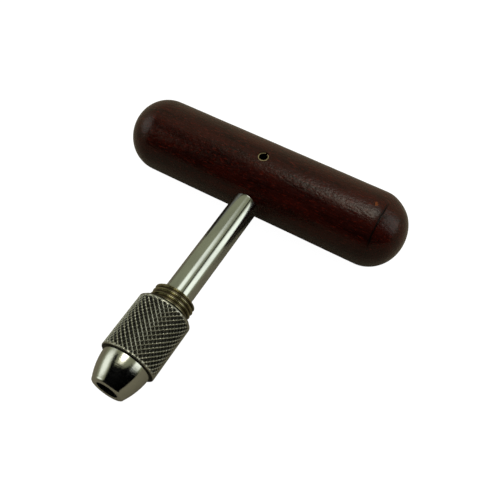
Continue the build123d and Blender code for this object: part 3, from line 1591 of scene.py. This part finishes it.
@dataclass(frozen=True)
class Panel:
    """A flat studio panel seen from the middle of the tool, either lit or black.

    Attributes:
        name: The panel's name.
        azimuth: Direction to it in degrees, from +X towards +Y.
        elevation: Its height above the horizon in degrees.
        wide: Its width as seen from the tool, in degrees.
        tall: Its height as seen from the tool, in degrees.
        radiance: Its brightness; 0 makes it a black card.
        soft_edge: Share of its size over which the light fades out at each edge.
        colour: The colour of its light.
    """

    name: str
    azimuth: float
    elevation: float
    wide: float
    tall: float
    radiance: float
    soft_edge: float = 0.2
    colour: Colour = (1.0, 1.0, 0.96)

    def lit(self, width: float, length: float) -> bpy.types.Object:
        """Make the softbox, brightest in the middle.

        Args:
            width: Its width in metres.
            length: Its length in metres.

        Returns:
            The light, at the origin.
        """
        data = bpy.data.lights.new(self.name, "AREA")
        data.shape, data.size, data.size_y = "RECTANGLE", width, length
        data.energy = self.radiance * math.pi * width * length
        data.color = self.colour
        data.use_nodes = True
        sheet = NodeSheet(data.node_tree)
        spot = sheet.node("ShaderNodeNewGeometry").outputs["Parametric"]
        across = sheet.node("ShaderNodeSeparateXYZ", {"Vector": spot})
        fades = []
        for side in ("X", "Y"):
            from_middle = sheet.maths("SUBTRACT", across.outputs[side], 0.5)
            from_edge = sheet.maths("SUBTRACT", 0.5, sheet.maths("ABSOLUTE", from_middle))
            fades.append(sheet.steps(from_edge, 0.0, self.soft_edge))
        strength = sheet.maths("MULTIPLY", *fades)
        glow = sheet.node("ShaderNodeEmission", {"Strength": strength})
        sheet.node("ShaderNodeOutputLight", {"Surface": glow.outputs[0]})
        return bpy.data.objects.new(self.name, data)

    def black(self, width: float, length: float) -> bpy.types.Object:
        """Make the black card, which only reflections see.

        Args:
            width: Its width in metres.
            length: Its length in metres.

        Returns:
            The card, at the origin.
        """
        card = flat_sheet(self.name, width / 2, length / 2)
        material, sheet = new_material(self.name)
        dark = sheet.node("ShaderNodeEmission", {"Color": (0.0, 0.0, 0.0, 1.0)})
        sheet.node("ShaderNodeOutputMaterial", {"Surface": dark.outputs[0]})
        card.data.materials.append(material)
        card.visible_diffuse = False
        card.visible_shadow = False
        return card

    def build(self, middle: Vector, distance: float) -> None:
        """Put the panel up, facing the tool.

        Args:
            middle: The point that it faces, in metres.
            distance: Its distance, in metres.
        """
        round_angle, height = math.radians(self.azimuth), math.radians(self.elevation)
        out = Vector(
            (
                math.cos(height) * math.cos(round_angle),
                math.cos(height) * math.sin(round_angle),
                math.sin(height),
            )
        )
        size = [2 * distance * math.tan(math.radians(part) / 2) for part in (self.wide, self.tall)]
        if self.radiance > 0:
            panel = self.lit(*size)
            bpy.context.scene.collection.objects.link(panel)
        else:
            panel = self.black(*size)
        panel.visible_camera = False
        panel.location = middle + out * distance
        panel.rotation_mode = "QUATERNION"
        panel.rotation_quaternion = out.to_track_quat("Z", "Y")


@dataclass
class Studio:
    """A white bench top, a plain room round it and soft panels, with the camera.

    Attributes:
        middle: The point that the panels face, in metres.
        handle_y: Place of the handle's axis, in millimetres.
        handle_radius: The handle's radius, in millimetres.
        sleeve_y: Place of the sleeve's front edge, which the tool rests on, in millimetres.
        sleeve_radius: The sleeve's radius, in millimetres.
        panel_distance: From the middle to each panel, in metres.
        room: What polished metal mirrors where no panel or card is.
        bench_half: Half the bench top's size, in metres.
        bench_tone: The bench as reflections and bounced light see it.
        bench_white: The bench as the camera sees it, lit by the panels.
        bench_glow: Brightness added to that, so that it shows nearly white.
        fill: Brightness of the soft light from above and behind.
        fill_low: The same light's brightness from below and in front.
        fill_from: Direction that the soft light is strongest from.
        camera_degrees: Angle round the tool, height above the horizon, and roll.
        camera_target_mm: The point that the camera faces.
        camera_distance_mm: From that point to the camera.
        lens_mm: Focal length of the lens.
        sensor_mm: Width of the sensor.
        nearest_seen: Nearest distance that the camera draws, in metres.
    """

    middle: Vector
    handle_y: float
    handle_radius: float
    sleeve_y: float
    sleeve_radius: float
    panel_distance: float = 0.8
    room: Colour = (0.29, 0.285, 0.185)
    bench_half: float = 3.0
    bench_tone: Colour = (0.22, 0.195, 0.14)
    bench_white: Colour = (0.14, 0.14, 0.14)
    bench_glow: float = 0.98
    fill: float = 0.95
    fill_low: float = 0.09
    fill_from: Triple = (0.0, 0.6, 0.8)
    camera_degrees: Triple = (31.19, 56.16, -0.625)
    camera_target_mm: Triple = (8.94, 51.87, 0.0)
    camera_distance_mm: float = 187.78
    lens_mm: float = 50.15
    sensor_mm: float = 36.0
    nearest_seen: float = 0.01

    def floor(self) -> None:
        """Lay the bench top against the handle and the sleeve that the tool rests on."""
        tilt = math.atan2(self.handle_radius - self.sleeve_radius, self.handle_y - self.sleeve_y)
        floor = flat_sheet("bench_top", self.bench_half, self.bench_half)
        material, sheet = new_material("bench_white")
        ray = sheet.node("ShaderNodeLightPath")
        white = sheet.node("ShaderNodeBsdfDiffuse", {"Color": (*self.bench_white, 1.0)})
        glow = sheet.node("ShaderNodeEmission", {"Strength": self.bench_glow})
        shown = sheet.node("ShaderNodeAddShader", {0: white.outputs[0], 1: glow.outputs[0]})
        toned = sheet.node("ShaderNodeBsdfDiffuse", {"Color": (*self.bench_tone, 1.0)})
        mixed = sheet.node(
            "ShaderNodeMixShader",
            {0: ray.outputs["Is Camera Ray"], 1: toned.outputs[0], 2: shown.outputs[0]},
        )
        sheet.node("ShaderNodeOutputMaterial", {"Surface": mixed.outputs[0]})
        floor.data.materials.append(material)
        floor.rotation_euler = (-tilt, 0.0, 0.0)
        lowest = self.handle_radius / math.cos(tilt)
        floor.location = (0.0, self.handle_y * MM, -lowest * MM)
        floor.visible_diffuse = False

    def surroundings(self) -> None:
        """Set the room: olive grey in reflections, white and soft for everything else."""
        world = bpy.data.worlds.new("studio")
        bpy.context.scene.world = world
        world.use_nodes = True
        sheet = NodeSheet(world.node_tree)
        ray = sheet.node("ShaderNodeLightPath")
        direction = sheet.node("ShaderNodeTexCoord").outputs["Generated"]
        back_light = sheet.node(
            "ShaderNodeVectorMath", {0: direction, 1: self.fill_from}, operation="DOT_PRODUCT"
        )
        upper = sheet.steps(back_light.outputs["Value"], -0.2, 1.0, self.fill_low, self.fill)
        white = (1.0, 1.0, 1.0, 1.0)
        soft = sheet.node("ShaderNodeBackground", {"Color": white, "Strength": upper})
        room = (*self.room, 1.0)
        mirrored = sheet.node("ShaderNodeBackground", {"Color": room, "Strength": 1.0})
        plain = sheet.node("ShaderNodeBackground", {"Color": white, "Strength": 1.0})
        lit = sheet.node(
            "ShaderNodeMixShader",
            {0: ray.outputs["Is Glossy Ray"], 1: soft.outputs[0], 2: mirrored.outputs[0]},
        )
        shown = sheet.node(
            "ShaderNodeMixShader",
            {0: ray.outputs["Is Camera Ray"], 1: lit.outputs[0], 2: plain.outputs[0]},
        )
        sheet.node("ShaderNodeOutputWorld", {"Surface": shown.outputs[0]})

    def panels(self) -> None:
        """Put up the side panels, the two overhead and the black cards round the camera."""
        for panel in (
            Panel("panel_left", 194.0, 30.0, 54.0, 46.0, 1.05, 0.35),
            Panel("panel_right", 21.0, 25.0, 48.0, 40.0, 1.2, 0.25),
            Panel("panel_top", 80.0, 74.0, 36.0, 36.0, 1.05, 0.3),
            Panel("panel_zenith", 90.0, 84.0, 34.0, 32.0, 4.3, 0.42, (1.0, 0.93, 0.76)),
            Panel("card_front", -63.5, 0.0, 129.0, 140.0, 0.0),
            Panel("card_left", 210.0, 60.0, 40.0, 14.0, 0.0),
            Panel("card_high", -88.0, 66.0, 60.0, 26.0, 0.0),
            Panel("card_gap", 43.0, 47.0, 24.0, 6.0, 0.0),
        ):
            panel.build(self.middle, self.panel_distance)

    def camera(self) -> None:
        """Set the camera up above the front right of the tool."""
        data = bpy.data.cameras.new("camera")
        data.sensor_width = self.sensor_mm
        data.lens = self.lens_mm
        data.clip_start = self.nearest_seen
        azimuth, elevation, roll = (math.radians(part) for part in self.camera_degrees)
        back = Vector(
            (
                math.sin(azimuth) * math.cos(elevation),
                -math.cos(azimuth) * math.cos(elevation),
                math.sin(elevation),
            )
        )
        camera = bpy.data.objects.new("camera", data)
        bpy.context.scene.collection.objects.link(camera)
        camera.location = (Vector(self.camera_target_mm) + back * self.camera_distance_mm) * MM
        camera.rotation_mode = "QUATERNION"
        level = (-back).to_track_quat("-Z", "Y")
        camera.rotation_quaternion = level @ Quaternion((0.0, 0.0, 1.0), roll)
        bpy.context.scene.camera = camera

    def build(self) -> None:
        """Build the whole studio."""
        self.floor()
        self.surroundings()
        self.panels()
        self.camera()
        bpy.context.scene.view_settings.view_transform = "Standard"


# ---- assembly --------------------------------------------------------------------------------


def main() -> None:
    """Build every sub-assembly from the frame's sizes, then the studio."""
    logging.basicConfig(level=logging.INFO, format="%(name)s: %(message)s")
    handle_low, handle_high = span("handle")
    pin_low, pin_high = span("cross_pin")
    shank_low, shank_high = span("shank")
    body_low, body_high = span("chuck_body")
    sleeve_low, sleeve_high = span("knurled_sleeve")
    nose_high = span("nose_cone")[1]
    jaw_travel = next(
        joint["range_m"][1] / MM
        for joint in frame["record"]["behaviour"]["joints"]
        if joint["name"] == "jaw_top_slide"
    )
    handle = CrossHandle(
        centre_y=(handle_low.y + handle_high.y) / 2,
        radius=handle_high.z,
        half_length=handle_high.x,
        pin_y=(pin_low.y + pin_high.y) / 2,
        pin_hole_radius=pin_high.x + PIN_CLEARANCE_MM,
    )
    parts = (
        handle,
        Shank(front_y=shank_low.y, rear_y=shank_high.y, radius=shank_high.z),
        ChuckBody(front_y=body_low.y, rear_y=body_high.y, radius=body_high.z),
        KnurledSleeve(front_y=sleeve_low.y, rear_y=sleeve_high.y, radius=sleeve_high.z),
        NoseCone(
            base_y=sleeve_low.y - JOINT_LINE_MM, rear_y=nose_high.y, base_radius=nose_high.z
        ),
        GrippingParts(jaw_travel=jaw_travel),
        Studio(
            middle=Vector((0.0, TOOL_MIDDLE_MM, 0.0)) * MM,
            handle_y=handle.centre_y,
            handle_radius=handle.radius,
            sleeve_y=sleeve_low.y,
            sleeve_radius=sleeve_high.z,
        ),
    )
    for part in parts:
        part.build()
        LOG.info("built %s", type(part).__name__)


if __name__ == "__main__":
    main()
